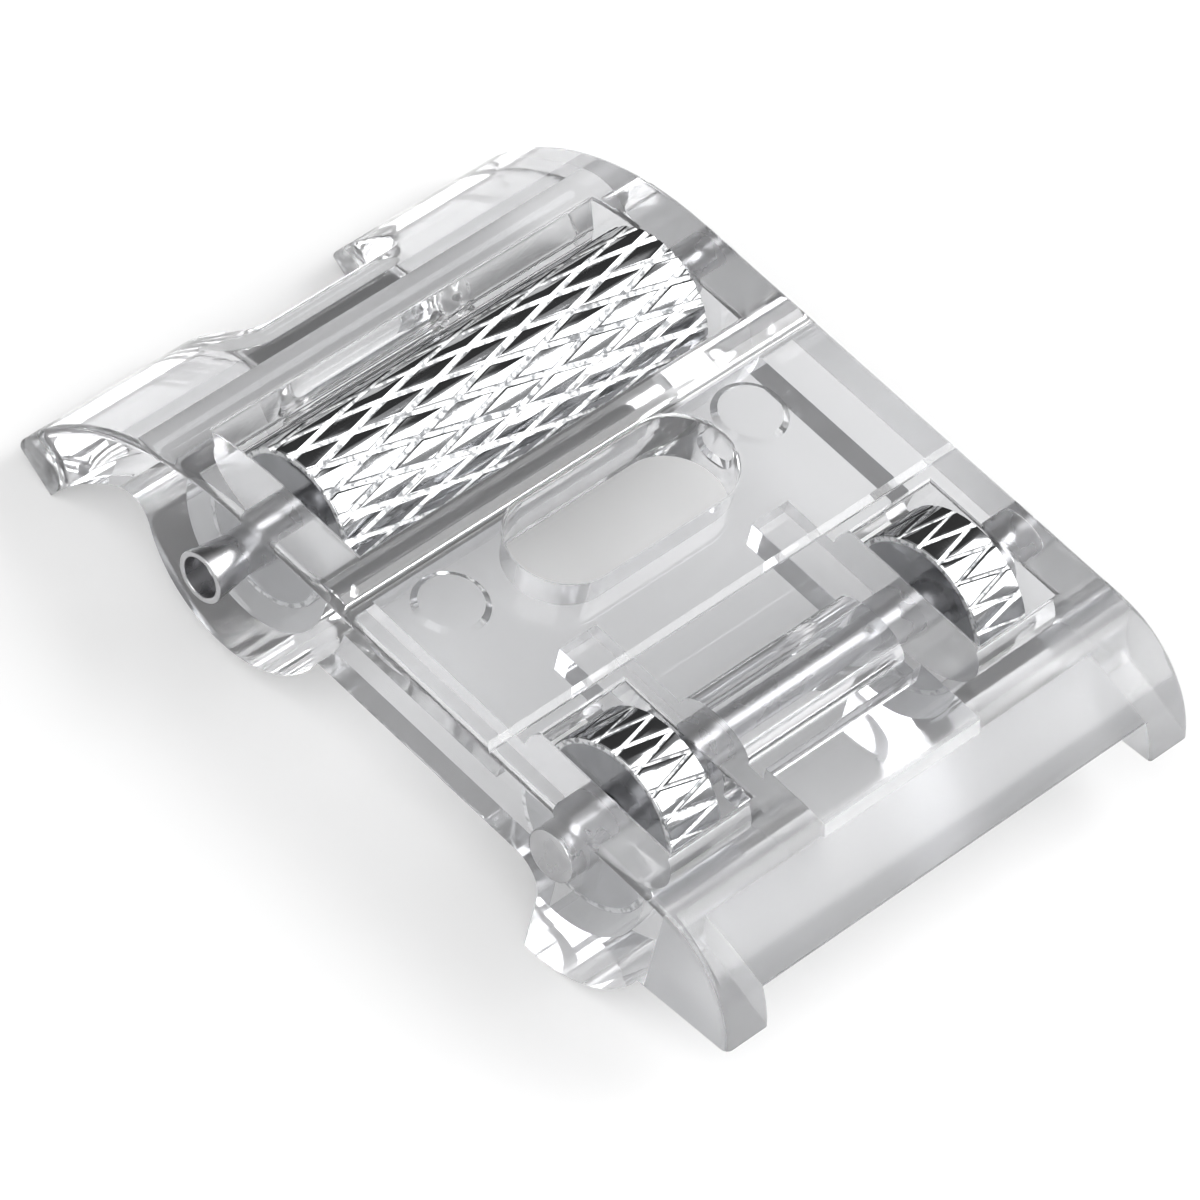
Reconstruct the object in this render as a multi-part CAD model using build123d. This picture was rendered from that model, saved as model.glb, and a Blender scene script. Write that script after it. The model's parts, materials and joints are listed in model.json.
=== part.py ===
from build123d import *
import math
import os

# Roller presser foot, lying sole up. Sizes are in millimetres.
# The centre of the snap bar is the origin, +X runs along the axles,
# +Y points to the front lip and +Z points out of the sole.

# Rollers and their knurl
FRONT_ROLLER_RADIUS = 2.95
REAR_ROLLER_RADIUS = 3.25
REAR_ROLLER_WIDTH = 2.45
ROLLER_STAND = 0.95
ROLLER_BEVEL = 0.25
KNURL_LENGTH = 4.25
KNURL_WIDTH = 1.03
KNURL_DEPTH = 0.18

# Axles
AXLE_SPACING = 16.7
FRONT_AXLE_RADIUS = 0.85
FRONT_STUB = 1.8
FRONT_STUB_FLARE = 0.23
FRONT_STUB_WALL = 0.25
FRONT_STUB_BORE = 1.0
FRONT_AXLE_PROUD = 0.3
BAR_RADIUS = 1.1

# Fits between pieces
RUNNING_GAP = 0.05
PRESS_GRIP = 0.01
FRONT_END_GAP = 0.45
REAR_END_GAP = 0.8
FRONT_POCKET_GAP = 0.75
REAR_POCKET_GAP = 0.5
BAR_COVE_GAP = 0.65

# Walls across the body, from the middle outwards
ANKLE_GAP = 8.0
LUG_THICKNESS = 1.85
CHEEK_THICKNESS = 2.1
FRONT_CHEEK = 2.35

# Sole plate
PLATE_THICKNESS = 2.3
LINE_Y = 3.65
LINE_WIDTH = 0.35
LINE_DEPTH = 0.2
SHOULDER = 1.4
BEAD_RISE = 0.15
BEAD_SETBACK = 0.2
SLOT_LENGTH = 10.4
SLOT_WIDTH = 4.3
SLOT_GAP = 0.2
MARK_RADIUS = 1.5
MARK_DEPTH = 0.25
MARK_SLOPE = 0.25
MARK_SPACING = 15.3
MARK_SETBACK = 0.05

# Front hood and lip
HOOD_WALL = 1.2
FRONT_WINDOW_DRAFT = 0.7
LIP_START = 0.5
LIP_RADIUS = 12.0
LIP_THICKNESS = 2.3
LIP_ROOT_FILLET = 1.2
NOTCH_WIDTH = 8.0
NOTCH_DEPTH = 3.4
NOTCH_ROUND = 1.0
NOTCH_EDGE_ROUND = 0.7

# Rear blocks, ribs, feet and edge
REAR_WALL = 1.6
BLOCK_FRONT = 0.1
BLOCK_FILLET = 1.4
RAIL_WALL = 0.1
RIB_REACH = 6.2
REAR_WINDOW = 3.45
REAR_REACH = 9.5
REAR_ROUND = 4.6
FOOT_DEPTH = 3.8
FOOT_HEEL_DEPTH = 4.3
RELIEF_DEPTH = 1.3
RELIEF_FRONT = 2.5
RELIEF_REAR = 5.45

# Rounds on the moulding's edges
EDGE_ROUND = 0.3
RIM_ROUND = 0.15

# Places that follow from the sizes above
SOLE_Z = REAR_ROLLER_RADIUS - ROLLER_STAND
FRONT_AXLE_Z = SOLE_Z + ROLLER_STAND - FRONT_ROLLER_RADIUS
PLATE_Z = SOLE_Z - PLATE_THICKNESS
RAIL_Z = -BAR_RADIUS - RAIL_WALL
LUG_INNER = ANKLE_GAP / 2
LUG_OUTER = LUG_INNER + LUG_THICKNESS
CHEEK_INNER = LUG_OUTER + REAR_ROLLER_WIDTH + 2 * REAR_END_GAP
SIDE = CHEEK_INNER + CHEEK_THICKNESS
FRONT_WINDOW = SIDE - FRONT_CHEEK
FRONT_ROLLER_LENGTH = 2 * (FRONT_WINDOW - FRONT_END_GAP)
REAR_ROLLER_X = (LUG_OUTER + CHEEK_INNER) / 2
FRONT_POCKET_RADIUS = FRONT_ROLLER_RADIUS + FRONT_POCKET_GAP
HOOD_RADIUS = FRONT_POCKET_RADIUS + HOOD_WALL
REAR_POCKET_RADIUS = REAR_ROLLER_RADIUS + REAR_POCKET_GAP
LOBE_RADIUS = REAR_POCKET_RADIUS + REAR_WALL
REST_Z = -LOBE_RADIUS
FRONT_POCKET_Y = AXLE_SPACING - FRONT_POCKET_RADIUS
SHOULDER_Y = FRONT_POCKET_Y - SHOULDER
SLOT_Y = SHOULDER_Y - SLOT_GAP - SLOT_WIDTH / 2
LIP_Y = AXLE_SPACING + LIP_START
LIP_Z = SOLE_Z - LIP_RADIUS
LIP_INNER_RADIUS = LIP_RADIUS - LIP_THICKNESS
LIP_ANGLE = math.asin((REST_Z - LIP_Z) / LIP_INNER_RADIUS)
LIP_TIP_Y = LIP_Y + LIP_RADIUS * math.cos(LIP_ANGLE)
NOTCH_Y = LIP_TIP_Y - NOTCH_DEPTH
REAR_ARC_Y = REAR_ROUND - REAR_REACH
REAR_ARC_Z = SOLE_Z - REAR_ROUND

# Within this distance two places count as one
TOUCH = 0.001

# Longer than the body in every direction, for cuts that run right through
THROUGH = 4 * (AXLE_SPACING + LIP_RADIUS + REAR_REACH + SIDE)


def slab(outline, low, high):
    """Outline drawn in Y and Z, carried along X from low to high."""
    return Pos(low, 0, 0) * extrude(Plane.YZ * outline, amount=high - low)


def both_sides(outline, low, high):
    """The same slab on the left and on the right of the middle."""
    return slab(outline, low, high) + slab(outline, -high, -low)


def area(y_low, y_high, z_low, z_high):
    """Rectangle in Y and Z between its limits."""
    middle = Pos((y_low + y_high) / 2, (z_low + z_high) / 2)
    return middle * Rectangle(y_high - y_low, z_high - z_low)


def disc(y, z, radius):
    """Circle in Y and Z."""
    return Pos(y, z) * Circle(radius)


def nearest_vertex(outline, y, z):
    """Corner of an outline that lies closest to a point."""
    return min(outline.vertices(), key=lambda v: math.hypot(v.X - y, v.Y - z))


def outer_form():
    """Everything under the sole line, the lip's outer round and the rear round."""
    flat = area(REAR_ARC_Y, LIP_Y, -THROUGH, SOLE_Z)
    lip = disc(LIP_Y, LIP_Z, LIP_RADIUS)
    rear = disc(REAR_ARC_Y, REAR_ARC_Z, REAR_ROUND)
    return flat + lip + rear


def lip_outline():
    """Curved lip, cut off radially where its inner corner meets the rest plane."""
    ring = disc(LIP_Y, LIP_Z, LIP_RADIUS) - disc(LIP_Y, LIP_Z, LIP_INNER_RADIUS)
    reach = 2 * LIP_RADIUS
    wedge = Polygon(
        (LIP_Y, LIP_Z),
        (LIP_Y + reach * math.cos(LIP_ANGLE), LIP_Z + reach * math.sin(LIP_ANGLE)),
        (LIP_Y + reach, LIP_Z + reach),
        (LIP_Y, LIP_Z + reach),
        align=None,
    )
    return ring & wedge


def main_outline():
    """Side view of what runs the full width: plate, lip and hood."""
    plate = area(-REAR_REACH, LIP_Y, PLATE_Z, SOLE_Z)
    hood = disc(AXLE_SPACING, FRONT_AXLE_Z, HOOD_RADIUS)
    outline = (plate + lip_outline() + hood) & outer_form()
    root = nearest_vertex(outline, AXLE_SPACING + HOOD_RADIUS, FRONT_AXLE_Z - HOOD_RADIUS / 2)
    return fillet(root, LIP_ROOT_FILLET)


def rear_lobe():
    """Half-round lobe behind and below the bar, cut off flat at its front."""
    behind = area(-THROUGH, BLOCK_FRONT, -THROUGH, SOLE_Z)
    return disc(0, 0, LOBE_RADIUS) & behind & outer_form()


def railed_lobe(rail_front):
    """Rear lobe with a rail that runs forward under the plate."""
    outline = rear_lobe() + area(0, rail_front, RAIL_Z, SOLE_Z)
    return fillet(nearest_vertex(outline, BLOCK_FRONT, RAIL_Z), BLOCK_FILLET)


def foot_outline():
    """Corner foot behind a rear block, under the rounded rear edge."""
    foot = Polygon(
        (REAR_ARC_Y, SOLE_Z),
        (-REAR_REACH, SOLE_Z),
        (-REAR_REACH, SOLE_Z - FOOT_DEPTH),
        (REAR_ARC_Y, SOLE_Z - FOOT_HEEL_DEPTH),
        align=None,
    )
    return foot & outer_form()


def front_pocket():
    """Pocket of the long roller, round below and open through the sole."""
    front = AXLE_SPACING + FRONT_POCKET_RADIUS
    mouth = Polygon(
        (FRONT_POCKET_Y, FRONT_AXLE_Z),
        (front, FRONT_AXLE_Z),
        (front + FRONT_WINDOW_DRAFT, SOLE_Z),
        (front + FRONT_WINDOW_DRAFT, THROUGH),
        (FRONT_POCKET_Y, THROUGH),
        align=None,
    )
    outline = disc(AXLE_SPACING, FRONT_AXLE_Z, FRONT_POCKET_RADIUS) + mouth
    return slab(outline, -FRONT_WINDOW, FRONT_WINDOW)


def rear_pockets():
    """Pockets of the short rollers, with windows that reach further to the rear."""
    outline = disc(0, 0, REAR_POCKET_RADIUS) + area(-REAR_WINDOW, 0, 0, THROUGH)
    return both_sides(outline, LUG_OUTER, CHEEK_INNER)


def ankle_cuts():
    """Cove round the snap bar and the relief behind it, between the lugs."""
    cove = disc(0, 0, BAR_RADIUS + BAR_COVE_GAP)
    relief = area(-RELIEF_REAR, -RELIEF_FRONT, -THROUGH, SOLE_Z - RELIEF_DEPTH)
    return slab(cove + relief, -LUG_INNER, LUG_INNER)


def needle_slot():
    """Slot for the needle, right through the plate."""
    return extrude(Pos(0, SLOT_Y) * SlotOverall(SLOT_LENGTH, SLOT_WIDTH), THROUGH, both=True)


def cross_line():
    """Fine groove across the plate, upright at its rear and sloped at its front."""
    outline = Polygon(
        (LINE_Y, SOLE_Z - LINE_DEPTH),
        (LINE_Y + 2 * LINE_WIDTH, SOLE_Z + LINE_DEPTH),
        (LINE_Y, SOLE_Z + LINE_DEPTH),
        align=None,
    )
    return slab(outline, -THROUGH, THROUGH)


def shoulder_bead():
    """Low round-topped bead along the shoulder behind the long roller."""
    width = SHOULDER - BEAD_SETBACK
    radius = (width * width / 4 + BEAD_RISE * BEAD_RISE) / (2 * BEAD_RISE)
    crown = disc(SHOULDER_Y + width / 2, SOLE_Z + BEAD_RISE - radius, radius)
    strip = area(SHOULDER_Y, SHOULDER_Y + width, SOLE_Z - BEAD_RISE, THROUGH)
    return slab(crown & strip, EDGE_ROUND - SIDE, SIDE - EDGE_ROUND)


def lip_notch():
    """Notch in the middle of the lip, with rounded inner corners."""
    length = THROUGH
    middle = Pos(0, NOTCH_Y + length / 2)
    return extrude(middle * RectangleRounded(NOTCH_WIDTH, length, NOTCH_ROUND), THROUGH, both=True)


def ejector_marks():
    """Two shallow round marks with sloped rims on the plate's underside."""
    y = SHOULDER_Y - MARK_SETBACK - MARK_RADIUS
    mark = Cone(MARK_RADIUS, MARK_RADIUS - MARK_SLOPE, MARK_DEPTH)
    middle = PLATE_Z + MARK_DEPTH / 2
    return [Pos(x, y, middle) * mark for x in (-MARK_SPACING / 2, MARK_SPACING / 2)]


def near(value, target):
    """Whether two lengths count as one."""
    return math.isclose(value, target, abs_tol=TOUCH)


def on_round(point, y, z, radius):
    """Whether a point lies on a round that is drawn in Y and Z."""
    return near(math.hypot(point.Y - y, point.Z - z), radius)


def on_lip(point, radius):
    """Whether a point lies on the outer or the inner round of the lip."""
    return point.Y > LIP_Y and on_round(point, LIP_Y, LIP_Z, radius)


def on_top(point):
    """Whether a point lies on the sole, the lip's outer round or the rear round."""
    rear = point.Y < REAR_ARC_Y and on_round(point, REAR_ARC_Y, REAR_ARC_Z, REAR_ROUND)
    return near(point.Z, SOLE_Z) or on_lip(point, LIP_RADIUS) or rear


def on_seam(point):
    """Whether a point lies where the flat sole runs smoothly into a round."""
    return near(point.Y, LIP_Y) or near(point.Y, REAR_ARC_Y)


def on_notch_rim(point):
    """Whether a point lies on the notch's rim, on the underside of the lip."""
    inside = point.Y > NOTCH_Y - TOUCH and abs(point.X) < NOTCH_WIDTH / 2 + TOUCH
    return inside and on_lip(point, LIP_INNER_RADIUS)


def round_edges(body):
    """Soften the long edges of the top, then its rims, then the notch below."""
    top = [e for e in body.edges() if on_top(e @ 0.5)]
    body = fillet([e for e in top if near(abs((e @ 0.5).X), SIDE)], EDGE_ROUND)
    inner = [e for e in body.edges() if on_top(e @ 0.5) and abs((e @ 0.5).X) < CHEEK_INNER + TOUCH]
    body = fillet([e for e in inner if not on_seam(e @ 0.5)], RIM_ROUND)
    return fillet([e for e in body.edges() if on_notch_rim(e @ 0.5)], NOTCH_EDGE_ROUND)


def make_body():
    """Clear foot in one moulding."""
    body = slab(main_outline(), -SIDE, SIDE)
    body += both_sides(railed_lobe(AXLE_SPACING), CHEEK_INNER, SIDE)
    body += both_sides(railed_lobe(RIB_REACH), LUG_INNER, LUG_OUTER)
    body += both_sides(rear_lobe(), LUG_OUTER, CHEEK_INNER)
    body += both_sides(foot_outline(), CHEEK_INNER, SIDE)
    body -= front_pocket()
    body -= rear_pockets()
    body -= ankle_cuts()
    body -= needle_slot()
    body -= lip_notch()
    body -= ejector_marks()
    body -= slab(disc(AXLE_SPACING, FRONT_AXLE_Z, FRONT_AXLE_RADIUS - PRESS_GRIP), -SIDE, SIDE)
    body -= slab(disc(0, 0, BAR_RADIUS - PRESS_GRIP), -SIDE, SIDE)
    return round_edges(body) + shoulder_bead() - cross_line()


def knurled_roller(radius, width, axle_radius):
    """Roller round X with diamonds between two sets of helical grooves."""
    starts = round(2 * math.pi * radius / KNURL_WIDTH)
    knurl = width - 2 * ROLLER_BEVEL
    rows = max(1, round(2 * knurl / KNURL_LENGTH))
    end_radius = radius - KNURL_DEPTH - ROLLER_BEVEL

    def on_ring(x, reach, spot):
        turn = math.pi * spot / starts
        return Vector(x, reach * math.cos(turn), reach * math.sin(turn))

    def on_knurl(row, spot):
        reach = radius - KNURL_DEPTH * ((row + spot) % 2)
        return on_ring(knurl * (row / rows - 0.5), reach, spot)

    def polygon(*corners):
        return Face(Wire.make_polygon(corners))

    faces = []
    for spot in range(2 * starts):
        for row in range(rows):
            first, beside = on_knurl(row, spot), on_knurl(row, spot + 1)
            ahead, across = on_knurl(row + 1, spot), on_knurl(row + 1, spot + 1)
            if (row + spot) % 2 == 0:
                faces += [polygon(first, beside, ahead), polygon(across, ahead, beside)]
            else:
                faces += [polygon(beside, across, first), polygon(ahead, first, across)]
        for row, x in ((0, -width / 2), (rows, width / 2)):
            here, there = on_knurl(row, spot), on_knurl(row, spot + 1)
            end, next_end = on_ring(x, end_radius, spot), on_ring(x, end_radius, spot + 1)
            faces += [polygon(here, there, end), polygon(there, next_end, end)]
    for x in (-width / 2, width / 2):
        faces.append(polygon(*(on_ring(x, end_radius, spot) for spot in range(2 * starts))))
    bore = Rotation(0, 90, 0) * Cylinder(axle_radius + RUNNING_GAP, 2 * width)
    return Solid(Shell(faces)) - bore


def make_front_axle():
    """Front pin: plain shaft with a flared and drilled stub on the left."""
    shaft = slab(Circle(FRONT_AXLE_RADIUS), -SIDE, SIDE + FRONT_AXLE_PROUD)
    end_radius = FRONT_AXLE_RADIUS + FRONT_STUB_FLARE
    stub = Pos(-SIDE - FRONT_STUB / 2, 0, 0) * Rotation(0, -90, 0) * Cone(
        FRONT_AXLE_RADIUS, end_radius, FRONT_STUB
    )
    tip = -SIDE - FRONT_STUB
    drilled = slab(Circle(end_radius - FRONT_STUB_WALL), tip, tip + FRONT_STUB_BORE)
    return Pos(0, AXLE_SPACING, FRONT_AXLE_Z) * (shaft + stub - drilled)


def make_rear_axle():
    """Rear pin, flush with both sides; its bare middle is the snap bar."""
    return slab(Circle(BAR_RADIUS), -SIDE, SIDE)


def make_rear_roller(x):
    """Short roller in its place along the snap bar."""
    return Pos(x, 0, 0) * knurled_roller(REAR_ROLLER_RADIUS, REAR_ROLLER_WIDTH, BAR_RADIUS)


def make_front_roller():
    """Long roller on the front axle."""
    roller = knurled_roller(FRONT_ROLLER_RADIUS, FRONT_ROLLER_LENGTH, FRONT_AXLE_RADIUS)
    return Pos(0, AXLE_SPACING, FRONT_AXLE_Z) * roller


pieces = {
    "foot_body": make_body(),
    "front_axle": make_front_axle(),
    "front_roller": make_front_roller(),
    "rear_axle": make_rear_axle(),
    "rear_roller_left": make_rear_roller(-REAR_ROLLER_X),
    "rear_roller_right": make_rear_roller(REAR_ROLLER_X),
}

os.makedirs("parts", exist_ok=True)
for node, shape in pieces.items():
    export_step(shape, f"parts/{node}.step")
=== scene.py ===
"""Looks of a clear roller presser foot that lies sole up on a pale studio floor."""

import json
import logging
import math
from dataclasses import dataclass
from enum import Enum
from typing import Any, Mapping, Optional, Sequence, Union

import bmesh
import bpy
from mathutils import Matrix, Vector

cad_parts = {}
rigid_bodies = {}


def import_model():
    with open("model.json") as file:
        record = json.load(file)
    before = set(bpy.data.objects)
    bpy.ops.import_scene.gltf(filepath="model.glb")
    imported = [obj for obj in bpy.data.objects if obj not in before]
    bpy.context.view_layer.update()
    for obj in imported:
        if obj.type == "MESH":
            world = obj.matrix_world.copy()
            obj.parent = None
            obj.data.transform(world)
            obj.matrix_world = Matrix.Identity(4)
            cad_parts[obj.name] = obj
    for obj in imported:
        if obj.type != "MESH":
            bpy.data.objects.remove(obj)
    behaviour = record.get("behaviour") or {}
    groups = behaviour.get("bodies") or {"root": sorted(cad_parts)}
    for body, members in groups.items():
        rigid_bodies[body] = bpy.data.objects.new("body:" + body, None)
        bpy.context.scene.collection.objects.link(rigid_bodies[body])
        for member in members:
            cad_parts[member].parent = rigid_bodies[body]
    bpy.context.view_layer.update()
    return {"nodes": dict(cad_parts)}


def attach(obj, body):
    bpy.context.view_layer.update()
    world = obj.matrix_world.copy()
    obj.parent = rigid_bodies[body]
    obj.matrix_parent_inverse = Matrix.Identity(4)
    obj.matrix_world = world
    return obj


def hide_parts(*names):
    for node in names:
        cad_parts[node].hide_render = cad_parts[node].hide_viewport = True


log = logging.getLogger("presser_foot")

Span = tuple[float, float]
Triple = tuple[float, float, float]
Colour = tuple[float, float, float, float]

# Sizes are in millimetres, in the frame of the solids, unless a line says otherwise.
MM = 0.001

# Gap at which points are joined, and the angle from which an edge is sharp.
WELD = 1e-4
CREASE = math.radians(24)

# What the rollers share with their plating and their pins.
FRONT_AXIS = (0.0, 16.7, 0.3)
FRONT_ROLLER_RADIUS = 2.95
REAR_AXIS = (0.0, 0.0, 0.0)
REAR_ROLLER_RADIUS = 3.25

# Middle of a short roller, to the left or right of the foot's middle.
REAR_ROLLER_PLACE = 7.875


class Slot(Enum):
    """Finish slots of the foot's record."""

    PLASTIC = "clear_plastic"
    PIN = "steel_pin"
    CHROME = "knurled_chrome"


class Body(Enum):
    """Bodies that the pieces ride on."""

    FOOT = "foot"
    FRONT_ROLLER = "front_roller"
    REAR_LEFT = "rear_roller_left"
    REAR_RIGHT = "rear_roller_right"


class Signal:
    """One shader value; arithmetic on it adds Math nodes to its graph."""

    def __init__(self, graph: "Graph", socket: bpy.types.NodeSocket) -> None:
        """Wraps an output socket of the graph."""
        self.graph = graph
        self.socket = socket

    def math(self, operation: str, *terms: "Value") -> "Signal":
        """Adds one Math node.

        Args:
            operation: Name of the Math operation.
            terms: Values or signals, in the node's order.

        Returns:
            The node's result.
        """
        return self.graph.add("ShaderNodeMath", {"operation": operation}, dict(enumerate(terms)))

    def __add__(self, other: "Value") -> "Signal":
        """Sum."""
        return self.math("ADD", self, other)

    def __radd__(self, other: "Value") -> "Signal":
        """Sum with a number on the left."""
        return self.math("ADD", other, self)

    def __sub__(self, other: "Value") -> "Signal":
        """Difference."""
        return self.math("SUBTRACT", self, other)

    def __rsub__(self, other: "Value") -> "Signal":
        """Difference from a number on the left."""
        return self.math("SUBTRACT", other, self)

    def __mul__(self, other: "Value") -> "Signal":
        """Product."""
        return self.math("MULTIPLY", self, other)

    def __rmul__(self, other: "Value") -> "Signal":
        """Product with a number on the left."""
        return self.math("MULTIPLY", other, self)

    def __truediv__(self, other: "Value") -> "Signal":
        """Quotient."""
        return self.math("DIVIDE", self, other)

    def __rtruediv__(self, other: "Value") -> "Signal":
        """Quotient of a number on the left."""
        return self.math("DIVIDE", other, self)

    def rise(self, low: float, high: float) -> "Signal":
        """Soft step from 0 at low to 1 at high; low may be the larger number.

        Args:
            low: Value that gives 0.
            high: Value that gives 1.

        Returns:
            The step.
        """
        settings = {"interpolation_type": "SMOOTHSTEP"}
        return self.graph.add("ShaderNodeMapRange", settings, {0: self, 1: low, 2: high})


Value = Union[Signal, float]


class Graph:
    """Shader graph of a material or of the studio's surroundings."""

    def __init__(self, tree: bpy.types.NodeTree, output: str) -> None:
        """Empties a node tree and gives it a fresh output.

        Args:
            tree: Node tree to fill.
            output: Type of the output node.
        """
        self.tree = tree
        tree.nodes.clear()
        self.output = tree.nodes.new(output)

    def add(
        self,
        kind: str,
        settings: Optional[Mapping[str, Any]] = None,
        sockets: Optional[Mapping[Union[int, str], Any]] = None,
        output: Union[int, str] = 0,
    ) -> Signal:
        """Adds any node.

        Args:
            kind: The node's type.
            settings: Properties that are set first.
            sockets: Values or signals for its inputs.
            output: Which of its outputs is used.

        Returns:
            That output.
        """
        node = self.tree.nodes.new(kind)
        for name, value in (settings or {}).items():
            setattr(node, name, value)
        for key, value in (sockets or {}).items():
            if isinstance(value, Signal):
                self.tree.links.new(value.socket, node.inputs[key])
            else:
                node.inputs[key].default_value = value
        return Signal(self, node.outputs[output])

    def show(self, shader: Signal) -> None:
        """Links a shader to the output."""
        self.tree.links.new(shader.socket, self.output.inputs["Surface"])

    def place(self) -> Signal:
        """Object coordinates, in metres."""
        return self.add("ShaderNodeTexCoord", output="Object")

    def stretched(self, place: Signal, scale: Triple) -> Signal:
        """Stretches coordinates.

        Args:
            place: Coordinates to start from.
            scale: Stretch along each axis.

        Returns:
            The new coordinates.
        """
        return self.add("ShaderNodeMapping", None, {"Vector": place, "Scale": scale})

    def noise(self, place: Signal, scale: float, detail: float = 2.0) -> Signal:
        """Cloudy noise between 0 and 1.

        Args:
            place: Coordinates to read.
            scale: Clouds per metre.
            detail: Octaves of finer noise.

        Returns:
            The noise.
        """
        sockets = {"Vector": place, "Scale": scale, "Detail": detail}
        return self.add("ShaderNodeTexNoise", None, sockets)

    def away(self, place: Signal, point: Triple) -> Signal:
        """Distance from a point, in millimetres.

        Args:
            place: Coordinates to read.
            point: The point.

        Returns:
            The distance.
        """
        settings = {"operation": "DISTANCE"}
        sockets = {0: place, 1: tuple(MM * value for value in point)}
        return self.add("ShaderNodeVectorMath", settings, sockets, "Value") / MM

    def around(self, place: Signal, axis: Triple) -> Signal:
        """Distance from a line along X, in millimetres.

        Args:
            place: Coordinates to read.
            axis: The line's point at X = 0.

        Returns:
            The distance.
        """
        return self.away(self.stretched(place, (0, 1, 1)), axis)

    def near(self, place: Signal, point: Triple, reach: float) -> Signal:
        """Soft ball mask round a point.

        Args:
            place: Coordinates to read.
            point: Centre of the ball.
            reach: Radius at which the mask ends.

        Returns:
            1 within half the reach and 0 past the reach.
        """
        return self.away(place, point).rise(reach, reach / 2)

    def axis(self, place: Signal, name: str) -> Signal:
        """One coordinate, in millimetres.

        Args:
            place: Coordinates to read.
            name: Name of the axis.

        Returns:
            The coordinate.
        """
        return self.add("ShaderNodeSeparateXYZ", None, {0: place}, name) / MM

    def bump(self, height: Signal) -> Signal:
        """Normal of a height given in millimetres."""
        return self.add("ShaderNodeBump", None, {"Distance": MM, "Height": height})

    def tone(self, mask: Signal, low: Union[Signal, Colour], high: Union[Signal, Colour]) -> Signal:
        """Mixes two colours.

        Args:
            mask: 0 gives low and 1 gives high.
            low: First colour.
            high: Second colour.

        Returns:
            The mixed colour.
        """
        sockets = {0: mask, 6: low, 7: high}
        return self.add("ShaderNodeMix", {"data_type": "RGBA"}, sockets, output=2)

    def surface(self, sockets: Mapping[str, Any]) -> None:
        """Shows a surface with the given values and signals."""
        self.show(self.add("ShaderNodeBsdfPrincipled", None, sockets))


def new_material(name: str) -> tuple[bpy.types.Material, Graph]:
    """Makes an empty material.

    Args:
        name: Name of the finish.

    Returns:
        The material and its graph.
    """
    material = bpy.data.materials.new(name)
    material.use_nodes = True
    return material, Graph(material.node_tree, "ShaderNodeOutputMaterial")


@dataclass(frozen=True)
class ClearAcrylic:
    """Clear moulded plastic with a frosted heel, painted shade on the lip's front tips and torn
    gate ends.
    """

    low_tint: Colour = (0.85, 0.855, 0.87, 1.0)
    high_tint: Colour = (0.89, 0.893, 0.905, 1.0)
    # Painted shade: black that the lip's front tips are mixed towards.
    painted_shade_tone: Colour = (0.0, 0.0, 0.0, 1.0)
    index: float = 1.49
    clarity: float = 0.92
    polish: float = 0.03
    gate_roughness: float = 0.35
    heel_roughness: float = 0.12
    inner_roughness: float = 0.55
    cloud_scale: float = 160
    torn_scale: float = 1500
    torn_height: float = 0.5
    # Painted shade: how far the lip's front tips are darkened, and the span along Y where it grows.
    lip_painted_shade: float = 0.38
    lip_spread: Span = (23.5, 27.5)
    heel_axis: Triple = (0.0, -4.9, -2.3)
    heel_skin: Span = (4.4, 4.55)
    heel_spread: Span = (-4.6, -5.4)
    inner_spread: Span = (-5.2, -5.4)
    gates: tuple[tuple[Triple, float], ...] = (
        ((-12.0, 26.9, -4.4), 2.0),
        ((4.6, 27.2, -4.9), 2.2),
    )

    def material(self) -> bpy.types.Material:
        """Makes the material of the moulding."""
        material, graph = new_material(Slot.PLASTIC.value)
        place = graph.place()
        lengthwise = graph.axis(place, "Y")
        cloud = graph.noise(place, self.cloud_scale, detail=0)
        gate = sum(graph.near(place, *spot) for spot in self.gates)
        heel = graph.around(place, self.heel_axis).rise(*self.heel_skin)
        heel = heel * lengthwise.rise(*self.heel_spread)
        inner = lengthwise.rise(*self.inner_spread) * (1 - heel)
        tint = graph.tone(cloud, self.low_tint, self.high_tint)
        # Painted shade: the lip darkens towards black near its front tips.
        lip = lengthwise.rise(*self.lip_spread) * self.lip_painted_shade
        torn = graph.noise(place, self.torn_scale, detail=0) * gate * self.torn_height
        graph.surface(
            {
                "Base Color": graph.tone(lip, tint, self.painted_shade_tone),
                "Roughness": gate * self.gate_roughness
                + heel * self.heel_roughness
                + inner * self.inner_roughness
                + self.polish,
                "IOR": self.index,
                "Transmission Weight": self.clarity,
                "Normal": graph.bump(torn),
            }
        )
        return material


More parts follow.
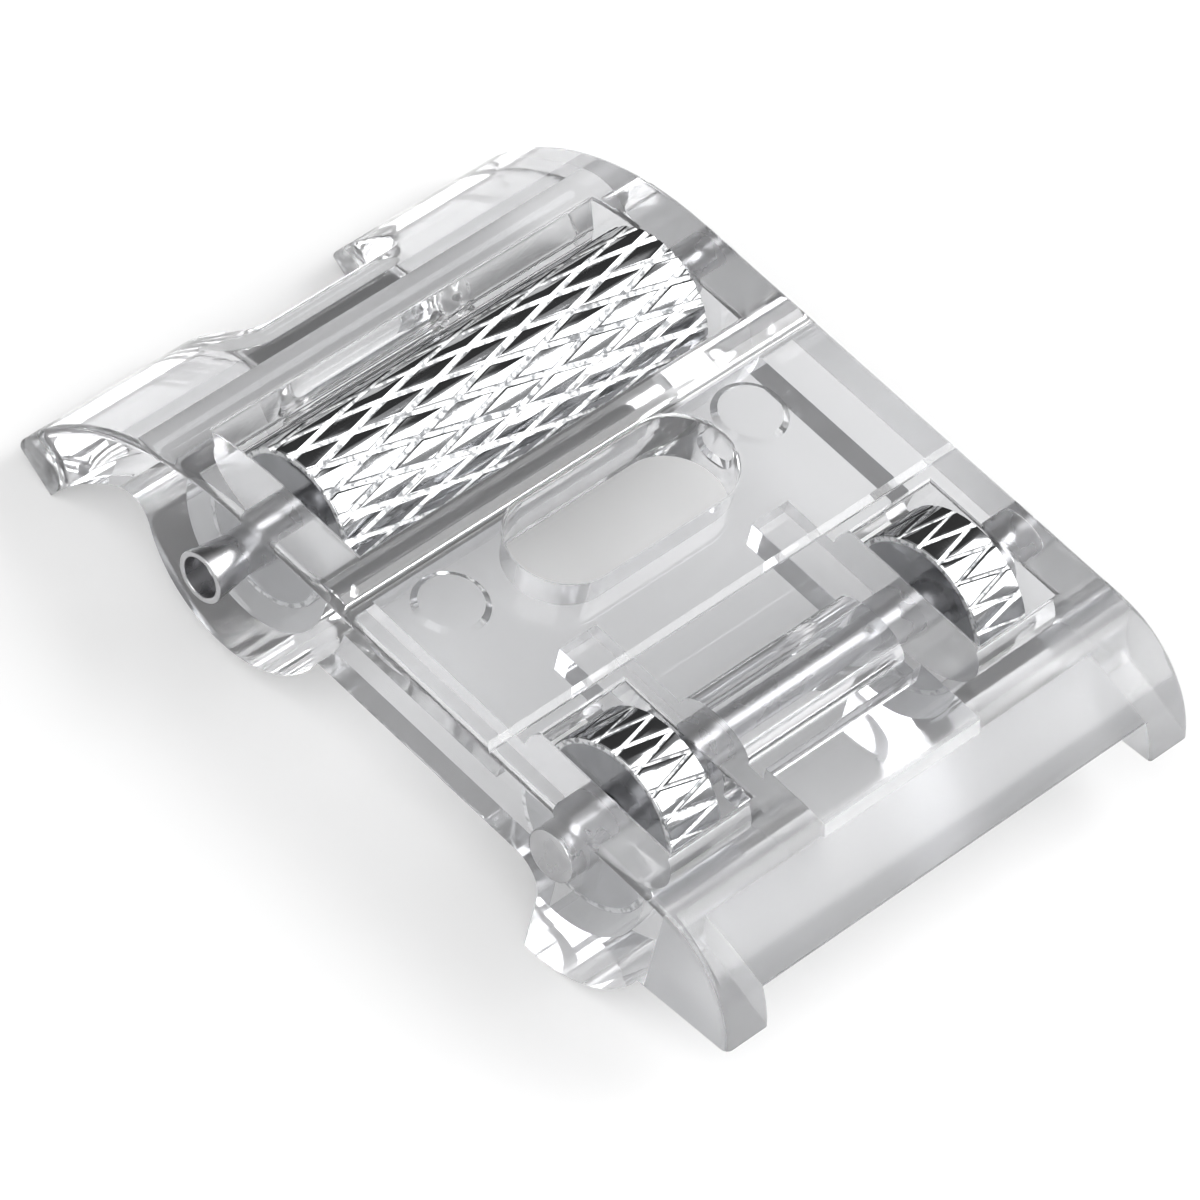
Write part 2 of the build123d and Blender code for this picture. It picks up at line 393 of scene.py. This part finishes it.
@dataclass(frozen=True)
class BrightChrome:
    """Bright plating over a rolled knurl: polished tops and matt grooves, the grooves painted pale
    with painted glints as a painted highlight.
    """

    low_tone: Colour = (0.32, 0.325, 0.335, 1.0)
    high_tone: Colour = (0.46, 0.465, 0.475, 1.0)
    # Painted highlight: colours of the grooves, from grey to near white.
    painted_highlight_low: Colour = (0.38, 0.385, 0.395, 1.0)
    painted_highlight_high: Colour = (0.95, 0.955, 0.96, 1.0)
    polish: float = 0.06
    cloudiness: float = 0.12
    groove_roughness: float = 0.36
    cloud_scale: float = 900
    # Painted glints: fine noise that picks the brighter spots in the grooves.
    painted_glint_scale: float = 3600
    painted_glint_spread: Span = (0.36, 0.54)
    grain_scale: float = 6000
    grain_height: float = 0.002
    groove_grain: float = 0.008
    sunk: Span = (0.02, 0.07)
    inside: Span = (0.20, 0.30)
    rollers: tuple[tuple[Triple, float], ...] = (
        (FRONT_AXIS, FRONT_ROLLER_RADIUS),
        (REAR_AXIS, REAR_ROLLER_RADIUS),
    )

    def grooves(self, graph: Graph, place: Signal) -> Signal:
        """Mask of what lies just below the tops of the diamonds.

        Args:
            graph: Graph of the material.
            place: Object coordinates.

        Returns:
            1 in the grooves, 0 on the tops and further in on the end faces.
        """
        start, full = self.sunk
        low, lowest = self.inside
        masks = []
        for axis, radius in self.rollers:
            away = graph.around(place, axis)
            sunk = away.rise(radius - start, radius - full)
            masks.append(sunk * away.rise(radius - lowest, radius - low))
        return sum(masks)

    def material(self) -> bpy.types.Material:
        """Makes the material of the rollers."""
        material, graph = new_material(Slot.CHROME.value)
        place = graph.place()
        cloud = graph.noise(place, self.cloud_scale, detail=3)
        groove = self.grooves(graph, place)
        top = graph.tone(cloud, self.low_tone, self.high_tone)
        # Painted highlight: the grooves are painted pale, with painted glints.
        painted_glint = graph.noise(place, self.painted_glint_scale).rise(*self.painted_glint_spread)
        bottom = graph.tone(painted_glint, self.painted_highlight_low, self.painted_highlight_high)
        height = groove * self.groove_grain + self.grain_height
        graph.surface(
            {
                "Base Color": graph.tone(groove, top, bottom),
                "Metallic": 1.0,
                "Roughness": cloud * self.cloudiness + groove * self.groove_roughness + self.polish,
                "Normal": graph.bump(graph.noise(place, self.grain_scale) * height),
            }
        )
        return material


@dataclass(frozen=True)
class TurnedSteel:
    """Plain steel rod with fine turning rings."""

    low_tone: Colour = (0.30, 0.30, 0.31, 1.0)
    high_tone: Colour = (0.62, 0.62, 0.63, 1.0)
    polish: float = 0.18
    cloudiness: float = 0.2
    cloud_scale: float = 700
    ring_stretch: Triple = (9000, 60, 60)
    ring_height: float = 0.004

    def material(self) -> bpy.types.Material:
        """Makes the material of the pins."""
        material, graph = new_material(Slot.PIN.value)
        place = graph.place()
        rings = graph.noise(graph.stretched(place, self.ring_stretch), scale=1, detail=3)
        cloud = graph.noise(place, self.cloud_scale)
        graph.surface(
            {
                "Base Color": graph.tone(cloud, self.low_tone, self.high_tone),
                "Metallic": 1.0,
                "Roughness": cloud * self.cloudiness + self.polish,
                "Normal": graph.bump(rings * self.ring_height),
            }
        )
        return material


@dataclass(frozen=True)
class PaleFloor:
    """Matt white studio floor with a faint glow of its own."""

    low_tone: Colour = (0.56, 0.56, 0.56, 1.0)
    high_tone: Colour = (0.58, 0.58, 0.58, 1.0)
    glow_tone: Colour = (1.0, 1.0, 1.0, 1.0)
    glow: float = 0.24
    roughness: float = 0.9
    cloud_scale: float = 12

    def material(self) -> bpy.types.Material:
        """Makes the material of the floor."""
        material, graph = new_material("pale_floor")
        cloud = graph.noise(graph.place(), self.cloud_scale)
        graph.surface(
            {
                "Base Color": graph.tone(cloud, self.low_tone, self.high_tone),
                "Roughness": self.roughness,
                "Emission Color": self.glow_tone,
                "Emission Strength": self.glow,
            }
        )
        material.cycles.emission_sampling = "NONE"
        return material


def to_object(bm: bmesh.types.BMesh, name: str, place: Triple) -> bpy.types.Object:
    """Turns a mesh drawn in millimetres into an object of the scene.

    Args:
        bm: Mesh to use up.
        name: Name of the piece.
        place: Where the mesh's origin goes.

    Returns:
        The object, at the origin, with its place in its mesh.
    """
    bmesh.ops.remove_doubles(bm, verts=bm.verts[:], dist=WELD)
    bmesh.ops.recalc_face_normals(bm, faces=bm.faces[:])
    for face in bm.faces:
        face.smooth = True
    for edge in bm.edges:
        edge.smooth = edge.calc_face_angle(0.0) < CREASE
    move = Matrix.Scale(MM, 4) @ Matrix.Translation(place)
    bmesh.ops.transform(bm, matrix=move, verts=bm.verts[:])
    mesh = bpy.data.meshes.new(name)
    bm.to_mesh(mesh)
    bm.free()
    piece = bpy.data.objects.new(name, mesh)
    bpy.context.scene.collection.objects.link(piece)
    return piece


def stand_for(
    piece: bpy.types.Object, body: Body, node: str, look: bpy.types.Material
) -> None:
    """Lets a piece stand for a node of the frame, with its finish.

    Args:
        piece: New piece.
        body: Body that it moves with.
        node: Node that it replaces.
        look: Material of that slot.
    """
    piece.data.materials.append(look)
    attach(piece, body.value)
    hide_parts(node)


@dataclass
class KnurledRoller:
    """Metal roller round X with flat diamonds between two sets of helical grooves."""

    node: str
    body: Body
    centre: Triple
    radius: float
    width: float
    bore: float
    start: Span
    groove_width: float
    groove_depth: float
    diamond_length: float = 4.25
    diamond_width: float = 1.03
    edge_round: float = 0.02
    end_bevel: float = 0.05
    facets: int = 5
    bevel_cuts: int = 4

    @property
    def girth(self) -> float:
        """Length round the roller."""
        return 2 * math.pi * self.radius

    @property
    def starts(self) -> int:
        """Number of grooves of each hand round the roller."""
        return round(self.girth / self.diamond_width)

    def cut(self, bm: bmesh.types.BMesh, point: Triple, normal: Triple, trim: bool) -> None:
        """Cuts the flat knurl by a plane.

        Args:
            bm: Flat knurl.
            point: Point of the plane.
            normal: Normal of the plane.
            trim: Whether what lies past the plane goes.
        """
        bmesh.ops.bisect_plane(
            bm,
            geom=bm.verts[:] + bm.edges[:] + bm.faces[:],
            dist=WELD,
            plane_co=point,
            plane_no=normal,
            clear_outer=trim,
        )

    def flat_knurl(self) -> bmesh.types.BMesh:
        """Draws the unrolled knurl: X along the roller, Y round it, Z outwards."""
        bm = bmesh.new()
        step = self.girth / self.starts
        cells = 2 * math.ceil((self.width / self.diamond_length + self.starts) / 2 + 1)
        bmesh.ops.create_grid(bm, x_segments=cells, y_segments=cells, size=cells / 2)
        slant = Matrix(
            (
                (self.diamond_length / 2, self.diamond_length / 2, 0, 0),
                (-step / 2, step / 2, 0, 0),
                (0, 0, 1, 0),
                (0, 0, 0, 1),
            )
        )
        bmesh.ops.transform(bm, matrix=slant, verts=bm.verts[:])
        bmesh.ops.inset_individual(
            bm,
            faces=bm.faces[:],
            thickness=self.groove_width / 2,
            depth=self.groove_depth,
            use_even_offset=True,
        )
        bmesh.ops.translate(bm, vec=(*self.start, -self.groove_depth), verts=bm.verts[:])
        return bm

    def trim(self, bm: bmesh.types.BMesh) -> None:
        """Trims the flat knurl to the roller and softens the rims of its diamonds.

        Args:
            bm: Flat knurl.
        """
        for side in (-1, 1):
            self.cut(bm, (side * self.width / 2, 0, 0), (side, 0, 0), True)
            self.cut(bm, (0, side * self.girth / 2, 0), (0, side, 0), True)
        rims = [
            edge
            for edge in bm.edges
            if not edge.is_boundary
            and edge.calc_face_angle(0.0) > CREASE
            and min(vert.co.z for vert in edge.verts) > -self.groove_depth / 4
        ]
        bmesh.ops.bevel(
            bm,
            geom=rims,
            offset=self.edge_round,
            segments=1,
            profile=0.5,
            affect="EDGES",
            material=-1,
        )

    def divide(self, bm: bmesh.types.BMesh) -> None:
        """Cuts the flat knurl up for its end bevels and for bending.

        Args:
            bm: Flat knurl.
        """
        for index in range(self.bevel_cuts):
            reach = self.width / 2 - self.end_bevel * (1 - index / self.bevel_cuts)
            for side in (-1, 1):
                self.cut(bm, (side * reach, 0, 0), (side, 0, 0), False)
        strips = self.starts * self.facets
        for strip in range(1, strips):
            self.cut(bm, (0, self.girth * (strip / strips - 0.5), 0), (0, 1, 0), False)

    def bevel_ends(self, bm: bmesh.types.BMesh) -> None:
        """Slopes the flat knurl down at both ends.

        Args:
            bm: Flat knurl.
        """
        for vert in bm.verts:
            past = abs(vert.co.x) - (self.width / 2 - self.end_bevel)
            if past > 0:
                vert.co.z = min(vert.co.z, -past)

    def drop_ends(self, bm: bmesh.types.BMesh) -> None:
        """Draws the end faces from the bevels down to the bore.

        Args:
            bm: Flat knurl.
        """
        for side in (-1, 1):
            rim = [
                edge
                for edge in bm.edges
                if edge.is_boundary
                and all(abs(vert.co.x - side * self.width / 2) < WELD for vert in edge.verts)
            ]
            drawn = bmesh.ops.extrude_edge_only(bm, edges=rim)["geom"]
            lower = [item for item in drawn if isinstance(item, bmesh.types.BMVert)]
            bmesh.ops.scale(bm, vec=(1, 1, 0), verts=lower)
            bmesh.ops.translate(bm, vec=(0, 0, self.bore - self.radius), verts=lower)

    def roll_up(self, bm: bmesh.types.BMesh) -> None:
        """Rolls the flat strip round X and joins its seam and its bore.

        Args:
            bm: Flat knurl.
        """
        for vert in bm.verts:
            along, turn = vert.co.x, vert.co.y / self.radius
            reach = self.radius + vert.co.z
            vert.co = (along, reach * math.sin(turn), reach * math.cos(turn))
        bmesh.ops.remove_doubles(bm, verts=bm.verts[:], dist=WELD)
        rims = [edge for edge in bm.edges if edge.is_boundary]
        bmesh.ops.bridge_loops(bm, edges=rims)

    def build(self) -> bpy.types.Object:
        """Builds the roller."""
        bm = self.flat_knurl()
        for work in (self.trim, self.divide, self.bevel_ends, self.drop_ends, self.roll_up):
            work(bm)
        return to_object(bm, self.node + "_knurl", self.centre)

    def dress(self, look: bpy.types.Material) -> bpy.types.Object:
        """Builds the roller and gives it its plating.

        Args:
            look: Material of the plating.

        Returns:
            The finished piece.
        """
        piece = self.build()
        stand_for(piece, self.body, self.node, look)
        return piece


@dataclass(kw_only=True)
class TurnedPin:
    """Plain steel pin along X."""

    node: str
    axis: Triple
    left: float
    right: float
    radius: float
    edge_round: float = 0.07
    edge_facets: int = 3
    facets: int = 72

    def outline(self) -> list[Span]:
        """Places along the pin and radii, from the middle of its left end to its right end's."""
        return [
            (self.left, 0.0),
            (self.left, self.radius),
            (self.right, self.radius),
            (self.right, 0.0),
        ]

    def build(self) -> bpy.types.Object:
        """Turns the outline round X and rounds its rims."""
        bm = bmesh.new()
        verts = [bm.verts.new((along, 0, reach)) for along, reach in self.outline()]
        edges = [bm.edges.new(pair) for pair in zip(verts, verts[1:])]
        bmesh.ops.spin(
            bm,
            geom=verts + edges,
            axis=(1, 0, 0),
            cent=(0, 0, 0),
            angle=2 * math.pi,
            steps=self.facets,
            use_merge=True,
        )
        bmesh.ops.remove_doubles(bm, verts=bm.verts[:], dist=WELD)
        bmesh.ops.recalc_face_normals(bm, faces=bm.faces[:])
        rims = [edge for edge in bm.edges if edge.calc_face_angle(0.0) > CREASE]
        bmesh.ops.bevel(
            bm,
            geom=rims,
            offset=self.edge_round,
            segments=self.edge_facets,
            profile=0.5,
            affect="EDGES",
            material=-1,
        )
        return to_object(bm, self.node + "_turned", self.axis)

    def dress(self, look: bpy.types.Material) -> bpy.types.Object:
        """Builds the pin and gives it its steel.

        Args:
            look: Material of the pin.

        Returns:
            The finished piece.
        """
        piece = self.build()
        stand_for(piece, Body.FOOT, self.node, look)
        return piece


@dataclass(kw_only=True)
class FlaredPin(TurnedPin):
    """Steel pin whose left end is flared and drilled."""

    flare_start: float
    flare_radius: float
    drill_depth: float
    drill_radius: float

    def outline(self) -> list[Span]:
        """Places along the pin and radii, from the bottom of the drilling to the right end."""
        bottom = self.left + self.drill_depth
        return [
            (bottom, 0.0),
            (bottom, self.drill_radius),
            (self.left, self.drill_radius),
            (self.left, self.flare_radius),
            (self.flare_start, self.radius),
            (self.right, self.radius),
            (self.right, 0.0),
        ]


@dataclass
class MouldedFoot:
    """The clear moulding: sole, lip, hood, lugs and rear feet in one."""

    node: str = "foot_body"

    def dress(
        self, nodes: Mapping[str, bpy.types.Object], look: bpy.types.Material
    ) -> bpy.types.Object:
        """Gives the moulding its clear plastic.

        Args:
            nodes: Nodes of the frame.
            look: Material of the moulding.

        Returns:
            The moulding.
        """
        piece = nodes[self.node]
        piece.data.materials[0] = look
        return piece


@dataclass
class SoftBox:
    """Square studio light that faces the foot; its angles are in degrees, the rest in metres."""

    name: str
    azimuth: float
    elevation: float
    distance: float
    side: float
    radiance: float

    def build(self) -> None:
        """Hangs the light."""
        light = bpy.data.lights.new(self.name, "AREA")
        light.shape = "SQUARE"
        light.size = self.side
        light.energy = self.radiance * math.pi * self.side**2
        lamp = bpy.data.objects.new(self.name, light)
        turn, rise = math.radians(self.azimuth), math.radians(self.elevation)
        flat = math.cos(rise)
        back = Vector((math.sin(turn) * flat, -math.cos(turn) * flat, math.sin(rise)))
        lamp.location = back * self.distance
        lamp.rotation_euler = back.to_track_quat("Z", "Y").to_euler()
        bpy.context.scene.collection.objects.link(lamp)


@dataclass
class StudioRoom:
    """Room round the foot: bright overhead, duller at the horizon, dark on the far side."""

    low_tone: float = 0.6
    high_tone: float = 0.85
    horizon: Span = (0.05, 0.35)
    far_side: Triple = (0.53, 0.84, 0.0)
    far_shade: float = 0.88
    far_spread: Span = (0.22, 0.55)
    far_top: Span = (0.89, 0.74)

    def build(self) -> None:
        """Hangs the room round the scene."""
        world = bpy.data.worlds.new("studio_room")
        world.use_nodes = True
        graph = Graph(world.node_tree, "ShaderNodeOutputWorld")
        direction = graph.add("ShaderNodeTexCoord", output="Generated")
        height = graph.add("ShaderNodeSeparateXYZ", None, {0: direction}, "Z")
        settings = {"operation": "DOT_PRODUCT"}
        sockets = {0: direction, 1: self.far_side}
        far = graph.add("ShaderNodeVectorMath", settings, sockets, "Value")
        shade = far.rise(*self.far_spread) * height.rise(*self.far_top) * self.far_shade
        gain = self.high_tone - self.low_tone
        bright = height.rise(*self.horizon) * gain + self.low_tone
        graph.show(graph.add("ShaderNodeBackground", None, {"Strength": bright * (1 - shade)}))
        world.cycles.sampling_method = "NONE"
        bpy.context.scene.world = world


@dataclass
class PhotoCamera:
    """Camera where the photo was taken from; its clip distances are in metres."""

    eye: Triple = (-172.81, -111.43, 242.96)
    right: Triple = (0.7113754, -0.6832427, 0.1646950)
    up: Triple = (0.4580343, 0.6284418, 0.6287015)
    back: Triple = (-0.5330569, -0.3718068, 0.7600066)
    lens: float = 264.58
    film: float = 36.0
    nearest: float = 0.01
    farthest: float = 10.0

    def build(self) -> None:
        """Sets the camera up and makes it the scene's."""
        data = bpy.data.cameras.new("photo_camera")
        data.lens = self.lens
        data.sensor_width = self.film
        data.clip_start = self.nearest
        data.clip_end = self.farthest
        camera = bpy.data.objects.new("photo_camera", data)
        turn = Matrix((self.right, self.up, self.back)).transposed().to_4x4()
        camera.matrix_world = Matrix.Translation(MM * Vector(self.eye)) @ turn
        bpy.context.scene.collection.objects.link(camera)
        bpy.context.scene.camera = camera


@dataclass
class Studio:
    """Pale floor, soft light and the camera at the photo's angle."""

    floor_height: float = -5.35
    floor_radius: float = 2500.0
    clear_bounces: int = 48
    gloss_bounces: int = 24
    matt_bounces: int = 2

    def floor(self, look: bpy.types.Material) -> None:
        """Lays the floor under the foot.

        Args:
            look: Material of the floor.
        """
        bm = bmesh.new()
        bmesh.ops.create_circle(bm, cap_ends=True, segments=96, radius=self.floor_radius)
        floor = to_object(bm, "studio_floor", (0, 0, self.floor_height))
        floor.data.materials.append(look)

    def lights(self) -> None:
        """Hangs the two soft lights."""
        SoftBox(
            "side_light", azimuth=58.0, elevation=43.0, distance=0.50, side=0.42, radiance=4.5
        ).build()
        SoftBox(
            "fill_light", azimuth=-75.0, elevation=50.0, distance=0.50, side=0.50, radiance=2.5
        ).build()

    def tune(self) -> None:
        """Lets light pass through many clear walls and keeps whites plain."""
        scene = bpy.context.scene
        scene.cycles.max_bounces = self.clear_bounces
        scene.cycles.transmission_bounces = self.clear_bounces
        scene.cycles.glossy_bounces = self.gloss_bounces
        scene.cycles.diffuse_bounces = self.matt_bounces
        scene.cycles.caustics_reflective = False
        scene.view_settings.view_transform = "Standard"

    def build(self) -> None:
        """Builds the whole studio."""
        self.floor(PaleFloor().material())
        StudioRoom().build()
        self.lights()
        PhotoCamera().build()
        self.tune()


def front_roller() -> KnurledRoller:
    """Long roller under the front hood."""
    return KnurledRoller(
        "front_roller",
        Body.FRONT_ROLLER,
        FRONT_AXIS,
        radius=FRONT_ROLLER_RADIUS,
        width=18.4,
        bore=0.9,
        start=(-0.275, -0.305),
        groove_width=0.28,
        groove_depth=0.15,
    )


def rear_roller(node: str, body: Body, along: float, start: Span) -> KnurledRoller:
    """Short roller beside a lug.

    Args:
        node: Node that it replaces.
        body: Body that it rides on.
        along: Its middle along the rear pin.
        start: Where a crossing of grooves lies, along and round the roller.

    Returns:
        The roller.
    """
    return KnurledRoller(
        node,
        body,
        (along, *REAR_AXIS[1:]),
        radius=REAR_ROLLER_RADIUS,
        width=2.45,
        bore=1.15,
        start=start,
        groove_width=0.18,
        groove_depth=0.09,
    )


def front_pin() -> FlaredPin:
    """Front pin with its flared and drilled left end."""
    return FlaredPin(
        node="front_axle",
        axis=FRONT_AXIS,
        left=-13.8,
        right=12.3,
        radius=0.85,
        flare_start=-12.0,
        flare_radius=1.08,
        drill_depth=1.0,
        drill_radius=0.83,
    )


def rear_pin() -> TurnedPin:
    """Rear pin, whose bare middle is the snap bar."""
    return TurnedPin(node="rear_axle", axis=REAR_AXIS, left=-12.0, right=12.0, radius=1.1)


def clear_start() -> None:
    """Takes away what Blender starts with."""
    for thing in list(bpy.data.objects):
        bpy.data.objects.remove(thing)


def main() -> None:
    """Builds and dresses the foot and the studio, in order."""
    logging.basicConfig(level=logging.INFO, format="%(name)s: %(message)s")
    clear_start()
    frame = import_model()
    plastic = ClearAcrylic().material()
    chrome = BrightChrome().material()
    steel = TurnedSteel().material()
    left = rear_roller("rear_roller_left", Body.REAR_LEFT, -REAR_ROLLER_PLACE, (1.31, -0.01))
    right = rear_roller("rear_roller_right", Body.REAR_RIGHT, REAR_ROLLER_PLACE, (1.02, 0.21))
    pieces = [
        MouldedFoot().dress(frame["nodes"], plastic),
        front_pin().dress(steel),
        rear_pin().dress(steel),
        front_roller().dress(chrome),
        left.dress(chrome),
        right.dress(chrome),
    ]
    for piece in pieces:
        log.info("%s: %d faces", piece.name, len(piece.data.polygons))
    Studio().build()


if __name__ == "__main__":
    main()
